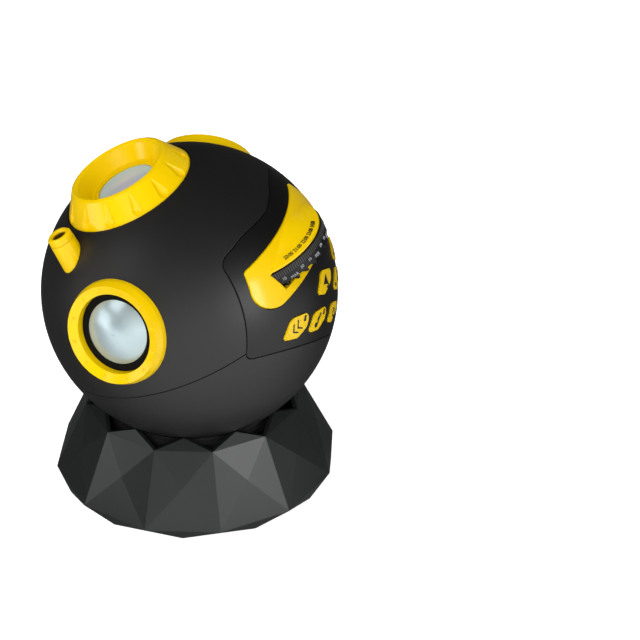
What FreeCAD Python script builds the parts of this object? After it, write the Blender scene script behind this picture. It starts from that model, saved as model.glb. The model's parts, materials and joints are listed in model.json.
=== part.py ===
import FreeCAD, Part
import math
import os
import re
import Sketcher
from FreeCAD import Placement, Rotation, Vector

# Home planetarium projector: a ball-shaped projector that lies in a faceted base.
# Row frame: origin at the centre of the base's foot plane, +Z up, a base corner on -Y.
# Ball frame: origin at the ball's centre, z along the lens axis, x towards the disc drawer,
# the two speakers towards -y (left) and +y (right).

os.makedirs("parts", exist_ok=True)
doc = FreeCAD.newDocument("PlanetariumProjector")
sheet = doc.addObject("Spreadsheet::Sheet", "Sizes")

SIZES = {
    # ball and its attitude in the base
    "ball_radius": 80.0, "shell_wall": 2.2, "ball_floor_gap": 30.4,
    "lens_heading": 190.22, "lens_tilt": 24.72, "lens_spin": 153.6,
    "seam_drop": 4.0, "seam_gap": 0.5, "tongue_wall": 1.4, "tongue_rise": 3.0,
    # clearances of running, sliding, fixed and screwed pieces, and how far ribs run into walls
    "run_gap": 0.06, "slide_gap": 0.3, "fixed_gap": 0.05, "screw_clear": 0.3,
    "socket_clear": 0.1, "weld": 0.3, "overshoot": 1.0,
    # faceted base
    "base_sides": 12, "base_wall": 2.4, "foot_rise": 0.8, "flare_height": 5.4,
    "waist_height": 27.7, "valley_height": 45.1, "peak_height": 50.6, "peak_gap": 0.6,
    "rim_gap": 0.35,
    "valley_step": 6.4, "waist_step": 7.8, "flare_step": 11.1, "bottom_step": 2.7,
    "deck_height": 10.0, "deck_wall": 2.5, "hub_rise": 12.0, "hub_wall": 3.6,
    "cover_wall": 2.0, "cover_gap": 0.4, "weight_bore": 52.0, "weight_rim": 66.0,
    "weight_height": 5.6, "foot_radius": 6.0, "foot_height": 2.2, "foot_circle": 57.0,
    "base_screw_circle": 47.4, "base_screw_shank": 1.5, "base_screw_head": 2.8,
    "base_screw_length": 8.0,
    # turning seat that carries the ball
    "seat_bore": 36.0, "journal_radius": 39.4, "seat_flange": 2.6, "seat_drop": 0.4,
    "cup_radius": 50.0, "cup_bore": 43.5, "felt_depth": 2.2, "felt_inset": 1.0,
    "felt_low": 8.8, "felt_height": 13.2, "retainer_lip": 42.2, "retainer_wall": 1.4,
    # focus ring, lens barrel and collar: drops and rises count from the ball's crown
    "ring_base_radius": 35.4, "ring_base_drop": 10.1, "ring_skirt": 1.0,
    "ring_rim_radius": 27.3, "ring_rim_rise": 3.2, "ring_crest_radius": 25.6,
    "ring_crest_rise": 4.0, "ring_mouth_radius": 23.8, "ring_mouth_rise": 3.0,
    "funnel_radius": 19.5, "funnel_drop": 5.1, "grip_count": 13, "grip_radius": 3.4,
    "grip_tip_radius": 0.7, "grip_depth": 1.9, "grip_foot_share": 0.25,
    "grip_head_share": 0.93, "ring_floor": 2.0, "ring_step": 2.0, "collar_radius": 26.5,
    "collar_wall": 1.9, "collar_gap": 0.4, "collar_drop": 4.4, "collar_plate": 2.4,
    "collar_flange": 34.0, "recess_gap": 0.6, "recess_rim": 1.5,
    "recess_floor": 2.7, "barrel_radius": 17.4, "barrel_wall": 1.4, "barrel_drop": 5.4,
    "barrel_length": 28.6, "guide_length": 4.0, "guide_wall": 2.4,
    "front_glass_inset": 1.0, "front_glass_edge": 2.4, "glass_crown": 2.2,
    "rear_glass_inset": 5.0, "rear_glass_edge": 2.4, "retainer_height": 1.6,
    "retainer_width": 1.55,
    # speakers
    "speaker_lean": 65.64, "bezel_foot_radius": 27.9, "bezel_face_radius": 25.9,
    "bezel_face_rise": 2.2, "bezel_lip_radius": 21.1, "bezel_lip_rise": 0.2,
    "bezel_edge_step": 0.4, "bezel_edge_rise": 3.0,
    "bezel_neck_radius": 24.5, "bezel_neck_depth": 9.5, "seat_gap": 0.15, "pip_count": 12,
    "pip_circle": 23.8, "pip_radius": 0.8, "pip_height": 0.45, "dome_radius": 17.0,
    "dome_base_drop": 4.0, "dome_rise": 4.6, "dome_wall": 0.9, "surround_drop": 5.6,
    "surround_lap": 1.5, "surround_wall": 1.4, "basket_depth": 18.0, "magnet_radius": 12.0,
    "magnet_depth": 9.0, "basket_wall": 1.2, "basket_lip": 1.6, "basket_foot": 3.0,
    # shooting-star nozzle
    "nozzle_x": -22.1, "nozzle_y": -41.8, "nozzle_tip_drop": 1.6, "nozzle_radius": 6.5,
    "nozzle_foot_radius": 7.6, "nozzle_collar": 3.0, "nozzle_root_step": 1.1,
    "nozzle_cap_length": 3.7, "nozzle_cap_round": 1.0, "nozzle_dish": 0.9, "nozzle_hole": 3.6,
    "nozzle_wall": 1.3, "nozzle_depth": 12.0, "nozzle_spigot": 2.0, "nozzle_lens_radius": 4.6,
    "nozzle_lens_wall": 1.4, "nozzle_lens_crown": 1.2, "nozzle_lens_gap": 0.2,
    "cap_gap": 0.15, "nozzle_chip_radius": 2.5, "nozzle_chip_height": 5.2,
    "nozzle_board": 1.6,
    # drawer opening and front (coordinates across and along the lens axis)
    "front_top": 31.0, "front_bottom": 5.0, "front_top_half": 37.0, "front_bottom_half": 49.8,
    "front_top_fillet": 2.5, "front_bottom_fillet": 11.0, "front_proud": 0.5,
    "front_wall": 3.4, "front_gap": 0.5, "visor_rim": 1.2, "visor_lip_radius": 31.6,
    "visor_band_radius": 25.0, "visor_band_height": 25.4, "visor_root_radius": 17.0,
    "visor_root_height": 30.0,
    # control panel
    "panel_top": 40.4, "panel_shoulder": 43.0, "panel_shoulder_half": 22.0,
    "panel_corner": 41.4, "panel_corner_half": 39.6, "panel_side_low": -7.2,
    "panel_side_half": 59.0, "panel_tip": -44.0, "panel_fillet": 4.0,
    "panel_corner_fillet": 8.0, "panel_tip_fillet": 9.0, "panel_soft_fillet": 24.0,
    "panel_gap": 0.45, "panel_wall": 3.4, "panel_flange": 2.6, "panel_flange_wall": 1.6,
    "panel_reach": 45.0,
    # buttons: leaf and bow outlines, the lower ones smaller by their share
    "leaf_half": 10.0, "leaf_height": 6.5, "bow_half": 11.2, "bow_height": 7.2,
    "leaf_fillet": 4.5, "leaf_end_fillet": 3.0, "point_fillet": 2.0,
    "low_leaf_share": 0.86, "tip_bow_share": 0.8,
    "button_proud": 0.7, "button_skirt": 3.2, "button_gap": 0.35, "button_travel": 0.7,
    "stem_radius": 2.0, "stem_gap": 0.1, "side_button_y": 31.8, "side_button_z": -11.8,
    "low_button_y": 16.6, "low_button_z": -20.7, "mid_button_z": -9.6,
    "tip_button_z": -29.8, "keypad_depth": 24.0, "board_wall": 1.6, "keypad_half": 38.0,
    "keypad_top": -1.5, "keypad_bottom": -36.0, "switch_side": 6.0, "switch_body": 2.4,
    "switch_height": 3.4, "plunger_radius": 1.6,
    # disc drawer
    "tray_clear": 0.8, "tray_wall": 1.5, "tray_back": 34.0,
    "tray_half": 36.0, "tray_flare_start": 30.0, "tray_flare_end": 50.0, "tray_corner": 33.0,
    "tunnel_wall": 1.0,
    "cover_plate": 1.4, "rib_y": 32.5, "rib_width": 2.2, "rib_height": 2.6,
    "notch_half": 13.0,
    # date dial, disc ring and their gears
    "dial_radius": 32.3, "dial_bottom": 9.9, "dial_top": 20.8, "dial_gap": 0.4,
    "gear_teeth": 30, "gear_radius": 28.85, "gear_wall": 3.0, "gear_gap": 0.4,
    "gear_pressure": 25.0, "gear_backlash": 0.35, "tooth_tip": 0.9, "tooth_root": 1.15,
    "dial_web": 2.0, "dial_rim": 3.0, "axle_radius": 3.0, "ring_tube_radius": 23.2,
    "disc_radius": 20.5, "disc_wall": 1.0, "disc_gap": 0.2, "disc_ledge": 2.0,
    "pinion_teeth": 12, "motor_radius": 7.4, "motor_length": 22.0, "shaft_radius": 1.5,
    # chassis, lamp and boards
    "chassis_drop": 0.2, "chassis_wall": 2.4, "chassis_gap": 10.0, "rib_gap": 3.0,
    "panel_clear": 16.0, "lamp_bore": 25.0, "lamp_wall": 2.0, "lamp_foot": 35.0,
    "lamp_flange": 2.0, "lamp_bottom": -52.0,
    "condenser_edge": 3.0, "condenser_crown": 5.0, "condenser_height": -9.0,
    "lamp_board_height": -28.0, "chip_side": 5.0, "chip_height": 1.6, "chip_dome": 2.1,
    "sink_height": 16.0, "sink_plate": 3.0, "sink_fins": 9, "fin_wall": 1.2,
    "rib_ring_radius": 30.0, "post_heading": 60.0, "post_gap": 20.0,
    "post_radius": 4.0, "screw_shank": 1.4, "screw_head": 2.6, "screw_length": 9.0,
    "screw_head_height": 1.0, "shell_screw_length": 16.2,
    "main_board_gap": 22.0, "main_board_half": 26.0, "main_board_top": -2.0,
    "main_board_bottom": -42.0, "chip_package": 12.0, "chip_package_height": 2.2,
    "shell_post_heading": 150.0, "shell_post_gap": 12.0,
    # sockets at the back
    "jack_height": 14.0, "jack_heading": 8.0, "audio_bore": 1.8, "power_bore": 3.0,
    "audio_collar": 3.6, "power_collar": 4.8, "jack_length": 12.0, "jack_sink": 0.2,
    "jack_floor": 1.5, "jack_flange": 1.5, "jack_flange_wall": 2.0, "power_pin": 0.9,
    "power_pin_drop": 3.0,
}
for row, (alias, value) in enumerate(SIZES.items(), start=1):
    sheet.set("A%d" % row, alias)
    sheet.set("B%d" % row, str(value))
    sheet.setAlias("B%d" % row, alias)
doc.recompute()


def size(alias):
    """A driving dimension, read back from the sheet."""
    return float(sheet.get(alias))


def formula(text):
    """The text of an expression, with every size name pointed at the sheet."""
    return re.sub(r"[a-z_]+", lambda m: "Sizes." + m[0] if m[0] in SIZES else m[0], str(text))


# ---- modelling helpers --------------------------------------------------------------------

def solid(kind, name, at, **formulas):
    """A primitive whose sizes, and its position if one is given, follow the sheet."""
    feature = doc.addObject("Part::" + kind, name)
    for prop, text in formulas.items():
        feature.setExpression(prop, formula(text))
    if at:
        for axis, text in zip("xyz", at):
            feature.setExpression("Placement.Base." + axis, formula(text))
    return feature


def cylinder(name, radius, height, at=None):
    return solid("Cylinder", name, at, Radius=radius, Height=height)


def sphere(name, radius, at=None):
    return solid("Sphere", name, at, Radius=radius)


def box(name, length, width, height):
    return solid("Box", name, None, Length=length, Width=width, Height=height)


def cut(name, base, tool):
    feature = doc.addObject("Part::Cut", name)
    feature.Base, feature.Tool = base, tool
    return feature


def fuse(name, shapes):
    feature = doc.addObject("Part::MultiFuse", name)
    feature.Shapes = shapes
    return feature


def common(name, shapes):
    feature = doc.addObject("Part::MultiCommon", name)
    feature.Shapes = shapes
    return feature


def special(name, shape):
    """A shape that no parametric feature makes; its sizes were read from the sheet."""
    feature = doc.addObject("Part::Feature", name)
    feature.Shape = shape
    return feature


def turned(name, profile):
    """A body of revolution about its own Z axis: profile is (radius, height) formulas."""
    body = doc.addObject("PartDesign::Body", name)
    plane = next(f for f in body.Origin.OriginFeatures if f.Role == "XZ_Plane")
    sketch = body.newObject("Sketcher::SketchObject", name + "_profile")
    sketch.AttachmentSupport = [(plane, "")]
    sketch.MapMode = "FlatFace"
    count = len(profile)
    rough = 50.0  # where the sketch starts, before its constraints move it
    ring = [Vector(rough * (1.2 + 0.2 * math.cos(2 * math.pi * i / count)),
                   rough * (1.2 + 0.2 * math.sin(2 * math.pi * i / count)), 0)
            for i in range(count)]
    for i in range(count):
        sketch.addGeometry(Part.LineSegment(ring[i], ring[(i + 1) % count]), False)
    for i, (radius, height) in enumerate(profile):
        sketch.addConstraint(Sketcher.Constraint("Coincident", i, 2, (i + 1) % count, 1))
        for kind, text, axis in (("DistanceX", radius, -2), ("DistanceY", height, -1)):
            if str(text) == "0":
                sketch.addConstraint(Sketcher.Constraint("PointOnObject", i, 1, axis))
                continue
            index = sketch.addConstraint(Sketcher.Constraint(kind, -1, 1, i, 1, rough))
            sketch.setExpression("Constraints[%d]" % index, formula(text))
    turn = body.newObject("PartDesign::Revolution", name + "_turn")
    turn.Profile = sketch
    turn.ReferenceAxis = (sketch, ["V_Axis"])
    turn.Angle = 360
    body.Tip = turn
    return body


def rounded(points, radii):
    """A closed wire through the points in the YZ plane, each corner rounded by its radius."""
    corners = [Vector(0, y, z) for y, z in points]
    count = len(corners)
    arcs = []
    for i, radius in enumerate(radii):
        here, before, after = corners[i], corners[i - 1], corners[(i + 1) % count]
        back, ahead = (before - here).normalize(), (after - here).normalize()
        half = back.getAngle(ahead) / 2
        start, end = here + back * (radius / math.tan(half)), here + ahead * (radius / math.tan(half))
        middle = (back + ahead).normalize()
        crown = here + middle * (radius / math.sin(half) - radius)
        arcs.append((start, crown, end))
    edges = []
    for i, (start, crown, end) in enumerate(arcs):
        edges.append(Part.Arc(start, crown, end).toShape())
        edges.append(Part.LineSegment(end, arcs[(i + 1) % count][0]).toShape())
    return Part.Wire(edges)


def prism(wire, growth, x_from, x_to):
    """The wire grown by a clearance and pushed along X."""
    face = Part.Face(wire)
    if growth:
        face = Part.Face(face.makeOffset2D(growth).OuterWire)
    face.translate(Vector(x_from, 0, 0))
    return face.extrude(Vector(x_to - x_from, 0, 0))


def spur_gear(teeth, pitch_radius, low, high, phase):
    """A spur gear about Z with involute flanks; phase turns one tooth onto that heading."""
    module = 2 * pitch_radius / teeth
    pressure = math.radians(size("gear_pressure"))
    base = pitch_radius * math.cos(pressure)
    tip, root = pitch_radius + module * size("tooth_tip"), pitch_radius - module * size("tooth_root")
    half_tooth = math.pi / (2 * teeth) - size("gear_backlash") / (2 * pitch_radius)
    half_base = half_tooth + math.tan(pressure) - pressure
    start = max(base, root)
    flank = [(root, half_base)] if root < base - 0.01 else []
    steps = 5
    for i in range(steps + 1):
        radius = start + (tip - start) * i / steps
        unroll = math.sqrt(max((radius / base) ** 2 - 1, 0.0))
        flank.append((radius, half_base - unroll + math.atan(unroll)))
    points = []
    for i in range(teeth):
        middle = math.radians(phase) + 2 * math.pi * i / teeth
        for side, half in ((-1, flank), (1, flank[::-1])):
            points += [Vector(r * math.cos(middle + side * a), r * math.sin(middle + side * a), low)
                       for r, a in half]
    return Part.Face(Part.makePolygon(points + points[:1])).extrude(Vector(0, 0, high - low))


nodes = []


def node(feature, label, frame=None):
    """Names a finished piece and puts it in its place."""
    feature.Label = label
    if frame is not None:
        feature.Placement = frame
    nodes.append(feature)
    return feature


BALL_HEIGHT = size("ball_floor_gap") + size("ball_radius")
ATTITUDE = (Rotation(Vector(0, 0, 1), size("lens_heading"))
            * Rotation(Vector(0, 1, 0), size("lens_tilt"))
            * Rotation(Vector(0, 0, 1), size("lens_spin")))
BALL = Placement(Vector(0, 0, BALL_HEIGHT), ATTITUDE)


def in_ball(x=0.0, y=0.0, z=0.0, rotation=Rotation()):
    return BALL * Placement(Vector(x, y, z), rotation)


# ---- faceted base -------------------------------------------------------------------------

BALL_R = size("ball_radius")
peak_radius = math.sqrt((BALL_R + size("peak_gap")) ** 2
                        - (BALL_HEIGHT - size("peak_height")) ** 2)
valley_radius = peak_radius + size("valley_step")
waist_radius = valley_radius + size("waist_step")
flare_radius = waist_radius + size("flare_step")
bottom_radius = flare_radius - size("bottom_step")
sides = int(size("base_sides"))


def corner(radius, height, step):
    """A corner of the base: step counts half facets, from the corner on -Y."""
    angle = math.radians(-90 + step * 180.0 / sides)
    return Vector(radius * math.cos(angle), radius * math.sin(angle), height)


def facet_rings(inset):
    """The base's rings of corners, moved inwards by the wall."""
    return {
        "peak": (peak_radius - inset, size("peak_height"), 0),
        "valley": (valley_radius - inset, size("valley_height"), 1),
        "waist": (waist_radius - inset, size("waist_height"), 0),
        "flare": (flare_radius - inset, size("flare_height"), 1),
        "bottom": (bottom_radius - inset, size("foot_rise"), 0),
    }


def skin(rings, outward):
    """The triangles of one side of the base wall."""
    triangles = []
    for k in range(sides):
        def at(ring, shift=0):
            radius, height, odd = rings[ring]
            return corner(radius, height, 2 * k + odd + shift)
        triangles += [
            (at("peak"), at("valley", -2), at("valley")),
            (at("valley", -2), at("waist"), at("valley")),
            (at("waist"), at("flare", -2), at("flare")),
            (at("valley"), at("waist"), at("flare")),
            (at("valley"), at("flare"), at("waist", 2)),
            (at("flare", -2), at("bottom"), at("flare")),
            (at("bottom"), at("bottom", 2), at("flare")),
        ]
    return triangles if outward else [t[::-1] for t in triangles]


def strip(outer, inner):
    """The narrow faces that close the wall at its rim or its foot."""
    triangles = []
    for i in range(len(outer)):
        j = (i + 1) % len(outer)
        triangles += [(outer[i], outer[j], inner[i]), (outer[j], inner[j], inner[i])]
    return triangles


def closed(triangles):
    faces = [Part.Face(Part.makePolygon(list(t) + [t[0]])) for t in triangles]
    body = Part.makeSolid(Part.makeShell(faces))
    if body.Volume < 0:
        body.reverse()
    return body


outer_rings, inner_rings = facet_rings(0.0), facet_rings(size("base_wall"))
rims, foot_rings = [], []
for rings in (outer_rings, inner_rings):
    rims.append([corner(*rings[name][:2], 2 * k + rings[name][2])
                 for k in range(sides) for name in ("peak", "valley")])
    foot_rings.append([corner(*rings["bottom"][:2], 2 * k) for k in range(sides)])
base_wall = closed(skin(outer_rings, True) + skin(inner_rings, False)
                   + strip(*rims) + strip(*foot_rings))
wall_core = closed(skin(outer_rings, True)
                   + strip(rims[0], [Vector(0, 0, size("valley_height"))] * (2 * sides))[::2]
                   + strip(foot_rings[0], [Vector(0, 0, size("foot_rise"))] * sides)[::2])

hub_radius = size("journal_radius") + size("run_gap")
deck_level, deck_wall = size("deck_height"), size("deck_wall")
deck = Part.makeCylinder(flare_radius, deck_wall, Vector(0, 0, deck_level)).common(wall_core)
hub = Part.makeCylinder(hub_radius + size("hub_wall"), size("hub_rise"), Vector(0, 0, deck_level))
over = size("overshoot")
hub_bore = Part.makeCylinder(hub_radius, size("hub_rise") + 2 * over,
                             Vector(0, 0, deck_level - over))
screw_places = [Rotation(Vector(0, 0, 1), 45 + 90 * i).multVec(
    Vector(size("base_screw_circle"), 0, 0)) for i in range(4)]
cover_top = size("foot_rise") + size("cover_wall")
head_room = size("base_screw_head") + size("screw_clear")
screw_posts = [Part.makeCylinder(head_room, deck_level - cover_top + over,
                                 Vector(p.x, p.y, cover_top)) for p in screw_places]
screw_holes = [Part.makeCylinder(size("base_screw_shank"), deck_level, Vector(p.x, p.y, 0))
               for p in screw_places]
ball_room = Part.makeSphere(BALL_R + size("rim_gap"), Vector(0, 0, BALL_HEIGHT))
shell_solid = base_wall.fuse([deck, hub] + screw_posts).cut([hub_bore, ball_room] + screw_holes)
node(special("BaseShell", shell_solid.removeSplitter()), "base_shell")

# Bottom cover: a polygon plate that drops inside the foot of the shell.
cover_corners = [corner(bottom_radius - size("base_wall") - size("cover_gap"),
                        size("foot_rise"), 2 * k) for k in range(sides)]
cover_plate = Part.Face(Part.makePolygon(cover_corners + cover_corners[:1])).extrude(
    Vector(0, 0, size("cover_wall")))
foot_places = [Rotation(Vector(0, 0, 1), 90 * i).multVec(Vector(size("foot_circle"), 0, 0))
               for i in range(4)]
foot_cups = [Part.makeCylinder(size("foot_radius") + size("socket_clear"), size("foot_height"), p)
             for p in foot_places]
cover_holes = [Part.makeCylinder(size("base_screw_shank") + size("screw_clear"), deck_level,
                                 Vector(p.x, p.y, 0)) for p in screw_places]
head_holes = [Part.makeCylinder(head_room, size("foot_rise") + size("screw_head_height"),
                                Vector(p.x, p.y, 0)) for p in screw_places]
node(special("BaseCover", cover_plate.cut(foot_cups + cover_holes + head_holes)), "base_cover")

weight = cut("BaseWeight",
             cylinder("WeightDisc", "weight_rim", "weight_height",
                      ("0", "0", "foot_rise + cover_wall")),
             cylinder("WeightBore", "weight_bore", "weight_height",
                      ("0", "0", "foot_rise + cover_wall")))
node(weight, "base_weight")

feet = fuse("BaseFeet", [
    cylinder("Foot%d" % i, "foot_radius", "foot_height",
             ("foot_circle * cos(%d)" % (90 * i), "foot_circle * sin(%d)" % (90 * i), "0"))
    for i in range(4)])
node(feet, "base_feet")


def screw(head_radius, shank_radius, length, at, up=Vector(0, 0, 1)):
    """A pan-head screw along 'up' from the face of its head, with a cross in the head."""
    head = Part.makeCylinder(head_radius, size("screw_head_height"), at, up)
    shank = Part.makeCylinder(shank_radius, length, at, up)
    slot, depth = head_radius * 1.2, size("screw_head_height") * 0.6
    width = slot / 4
    cross = [Part.makeBox(a, b, 2 * depth, at - Vector(a / 2, b / 2, depth))
             for a, b in ((slot, width), (width, slot))]
    return head.fuse(shank).cut(cross)


node(special("BaseScrews", Part.makeCompound([
    screw(size("base_screw_head"), size("base_screw_shank") - size("fixed_gap"),
          size("base_screw_length"), Vector(p.x, p.y, size("foot_rise")))
    for p in screw_places])), "base_screws")

# ---- turning seat -------------------------------------------------------------------------

flange_low = "deck_height + hub_rise + slide_gap"
flange_top = "deck_height + hub_rise + slide_gap + seat_flange"
cup_top = "valley_height + felt_depth"
cup_blank = turned("SeatBlank", [
    ("seat_bore", "deck_height - seat_drop"), ("journal_radius", "deck_height - seat_drop"),
    ("journal_radius", flange_low), ("cup_radius", flange_low), ("cup_radius", cup_top),
    ("cup_bore", cup_top), ("cup_bore", flange_top), ("seat_bore", flange_top)])
BALL_Z = "ball_floor_gap + ball_radius"
seat = cut("SeatRing", cup_blank,
           sphere("SeatHollow", "ball_radius + slide_gap + felt_depth", ("0", "0", BALL_Z)))
node(seat, "seat_ring")

felt_band = cut("FeltBand",
                cylinder("FeltDisc", "cup_radius - felt_inset", "felt_height",
                         ("0", "0", "valley_height - felt_low")),
                cylinder("FeltBore", "cup_bore + felt_inset", "felt_height",
                         ("0", "0", "valley_height - felt_low")))
felt = cut("SeatFelt",
           common("FeltZone", [felt_band, sphere("FeltBack", "ball_radius + slide_gap + felt_depth",
                                                 ("0", "0", BALL_Z))]),
           sphere("FeltFace", "ball_radius + slide_gap", ("0", "0", BALL_Z)))
node(felt, "seat_felt")

node(turned("SeatRetainer", [
    ("seat_bore", "deck_height - seat_drop - retainer_wall"),
    ("retainer_lip", "deck_height - seat_drop - retainer_wall"),
    ("retainer_lip", "deck_height - seat_drop"),
    ("seat_bore", "deck_height - seat_drop")]), "seat_retainer")

# ---- ball shells and control panel --------------------------------------------------------

INNER_R = BALL_R - size("shell_wall")
FAR = 2 * BALL_R
seam = -size("seam_drop")

front_wire = rounded(
    [(size("front_top_half"), size("front_top")), (size("front_bottom_half"), size("front_bottom")),
     (-size("front_bottom_half"), size("front_bottom")), (-size("front_top_half"), size("front_top"))],
    [size("front_top_fillet"), size("front_bottom_fillet"),
     size("front_bottom_fillet"), size("front_top_fillet")])
right_side = [(size("panel_shoulder_half"), size("panel_shoulder")),
              (size("panel_corner_half"), size("panel_corner")),
              (size("panel_side_half"), size("panel_side_low"))]
left_side = [(-y, z) for y, z in reversed(right_side)]
side_fillets = [size("panel_soft_fillet"), size("panel_corner_fillet"), size("panel_fillet")]
panel_wire = rounded([(0, size("panel_top"))] + right_side + [(0, size("panel_tip"))] + left_side,
                     [size("panel_soft_fillet")] + side_fillets + [size("panel_tip_fillet")]
                     + side_fillets[::-1])

PANEL_BACK = BALL_R - size("panel_reach")
panel_hole = prism(panel_wire, size("panel_gap"), PANEL_BACK, FAR)
flange_hole = prism(panel_wire, size("panel_flange") + size("panel_gap"), PANEL_BACK, FAR)
shell_ball = Part.makeSphere(BALL_R).cut(Part.makeSphere(INNER_R))
above = Part.makeBox(FAR, FAR, FAR, Vector(-BALL_R, -BALL_R, seam + size("seam_gap") / 2))
below = Part.makeBox(FAR, FAR, FAR, Vector(-BALL_R, -BALL_R, seam - size("seam_gap") / 2 - FAR))


def ball_point(heading, radius, height):
    """A point given by its heading about the lens axis."""
    angle = math.radians(heading)
    return Vector(radius * math.cos(angle), radius * math.sin(angle), height)


post_heading = size("post_heading")
post_points = [ball_point(h, BALL_R - size("post_gap"), 0)
               for h in (post_heading, 180 - post_heading, 180 + post_heading, -post_heading)]
shell_posts = [ball_point(s * size("shell_post_heading"), BALL_R - size("shell_post_gap"), 0)
               for s in (1, -1)]
chassis_top = size("front_bottom") - size("chassis_drop")
chassis_low = chassis_top - size("chassis_wall")

# Lower shell: half ball with a tongue at the seam, a ring that carries the lamp house,
# posts for the chassis and two posts for the shell screws.
tongue_out = INNER_R - size("slide_gap")
tongue_low = Vector(0, 0, seam - size("tongue_rise"))
tongue_bore = Part.makeCylinder(tongue_out - size("tongue_wall"), FAR, Vector(0, 0, -BALL_R))
tongue = Part.makeCylinder(tongue_out, size("tongue_rise") * 2, tongue_low).cut(tongue_bore)
tongue_root = Part.makeCylinder(INNER_R + size("weld"), size("tongue_rise") / 2, tongue_low
                                ).cut(tongue_bore)
lamp_ring = Part.makeCylinder(size("rib_ring_radius") + size("lamp_wall"), BALL_R,
                              Vector(0, 0, size("lamp_bottom") - BALL_R)).cut(
    Part.makeCylinder(size("rib_ring_radius"), FAR, Vector(0, 0, -BALL_R)))
posts = [Part.makeCylinder(size("post_radius"), BALL_R, Vector(p.x, p.y, chassis_low - BALL_R))
         for p in post_points]
low_posts = [Part.makeCylinder(size("post_radius"), BALL_R,
                               Vector(p.x, p.y, seam - size("seam_gap") / 2 - BALL_R))
             for p in shell_posts]
inside = Part.makeSphere(INNER_R + size("weld"))
fittings = [s.common(inside) for s in [lamp_ring] + posts + low_posts]
lower = shell_ball.common(below).fuse([tongue.fuse(tongue_root).cut(flange_hole)] + fittings)
post_bores = [Part.makeCylinder(size("screw_shank"), size("screw_length"),
                                Vector(p.x, p.y, chassis_low - size("screw_length")))
              for p in post_points]
shank_clear = size("screw_shank") + size("screw_clear")
shank_bores = [Part.makeCylinder(shank_clear, FAR, Vector(p.x, p.y, -BALL_R))
               for p in shell_posts]
head_bores = [Part.makeCylinder(size("screw_head") + size("screw_clear"), BALL_R,
                                Vector(p.x, p.y, seam - size("screw_length") - BALL_R))
              for p in shell_posts]
lower = lower.cut([panel_hole] + post_bores + shank_bores + head_bores)
node(special("LowerShell", lower.removeSplitter()), "lower_shell", BALL)

# Upper shell: seat for the focus ring, openings for speakers, nozzle, panel and sockets.
ring_recess = size("ring_base_radius") + size("recess_gap")
ring_base = BALL_R - size("ring_base_drop")
recess_level = ring_base - size("slide_gap")
focus_plate = Part.makeCylinder(ring_recess + size("recess_rim"), size("recess_floor"),
                                Vector(0, 0, recess_level - size("recess_floor")))
recess = Part.makeCylinder(ring_recess, FAR, Vector(0, 0, recess_level))
collar_hole = Part.makeCylinder(size("collar_radius") + size("slide_gap"), FAR)
speaker_axes = [Rotation(Vector(1, 0, 0), s * size("speaker_lean")).multVec(Vector(0, 0, 1))
                for s in (1, -1)]
speaker_holes = [Part.makeCylinder(size("bezel_neck_radius") + size("slide_gap"), FAR,
                                   Vector(0, 0, 0), axis) for axis in speaker_axes]
nozzle_root = size("nozzle_foot_radius") - size("nozzle_root_step")
nozzle_hole = Part.makeCylinder(nozzle_root + size("socket_clear"), FAR,
                                Vector(size("nozzle_x"), size("nozzle_y"), 0))
jack_axes = [ball_point(180 + s * size("jack_heading"),
                        math.sqrt(BALL_R ** 2 - size("jack_height") ** 2),
                        size("jack_height")).normalize() for s in (1, -1)]
jack_holes = [Part.makeCylinder(size(r) + size("socket_clear"), FAR, Vector(0, 0, 0), a)
              for r, a in zip(("audio_collar", "power_collar"), jack_axes)]
upper_posts = [Part.makeCylinder(size("post_radius"), BALL_R,
                                 Vector(p.x, p.y, seam + size("seam_gap") / 2)).common(inside)
               for p in shell_posts]
upper_bores = [Part.makeCylinder(size("screw_shank"), size("screw_length"), Vector(p.x, p.y, seam))
               for p in shell_posts]
upper = shell_ball.common(above).fuse([focus_plate.common(inside)] + upper_posts)
upper = upper.cut([recess, collar_hole, nozzle_hole, panel_hole]
                  + speaker_holes + jack_holes + upper_bores)
node(special("UpperShell", upper.removeSplitter()), "upper_shell", BALL)

node(special("ShellScrews", Part.makeCompound([
    screw(size("screw_head"), size("screw_shank") - size("fixed_gap"), size("shell_screw_length"),
          Vector(p.x, p.y, seam - size("screw_length") - size("screw_head_height")))
    for p in shell_posts])),
    "shell_screws", BALL)

# Control panel: a shield-shaped piece of the ball with a flange behind the shell's edge.
front_hole = prism(front_wire, size("front_gap"), PANEL_BACK, FAR)
panel_skin = prism(panel_wire, 0, PANEL_BACK, FAR).common(
    Part.makeSphere(BALL_R).cut(Part.makeSphere(BALL_R - size("panel_wall"))))
flange_out = INNER_R - size("panel_gap")
panel_flange = prism(panel_wire, size("panel_flange"), PANEL_BACK, FAR).common(
    Part.makeSphere(flange_out).cut(Part.makeSphere(flange_out - size("panel_flange_wall"))))
# Outlines as shares of their half width and height: a leaf with its point on the left, and
# a bow with a point at each end.
LEAF = [(-1.06, -0.03), (-0.2, 1.02), (1.03, 0.1), (0.48, -0.74), (-0.3, -0.83)]
BOW = [(-1.0, 0.0), (0.0, 1.0), (1.0, 0.0), (0.52, -0.58), (-0.52, -0.58)]


def button_wire(side, y, z, share):
    """The outline of a button cap: a leaf that points outwards, or in the middle a bow."""
    point = size("point_fillet")
    end, soft = size("leaf_end_fillet") * share, size("leaf_fillet") * share
    if side == 0:
        half, height = size("bow_half") * share, size("bow_height") * share
        return rounded([(py * half + y, pz * height + z) for py, pz in BOW],
                       [point, soft, point, soft, soft])
    half, height = -side * size("leaf_half"), size("leaf_height") * share
    return rounded([(py * half + y, pz * height + z) for py, pz in LEAF],
                   [point, soft, end, soft, soft])


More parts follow.
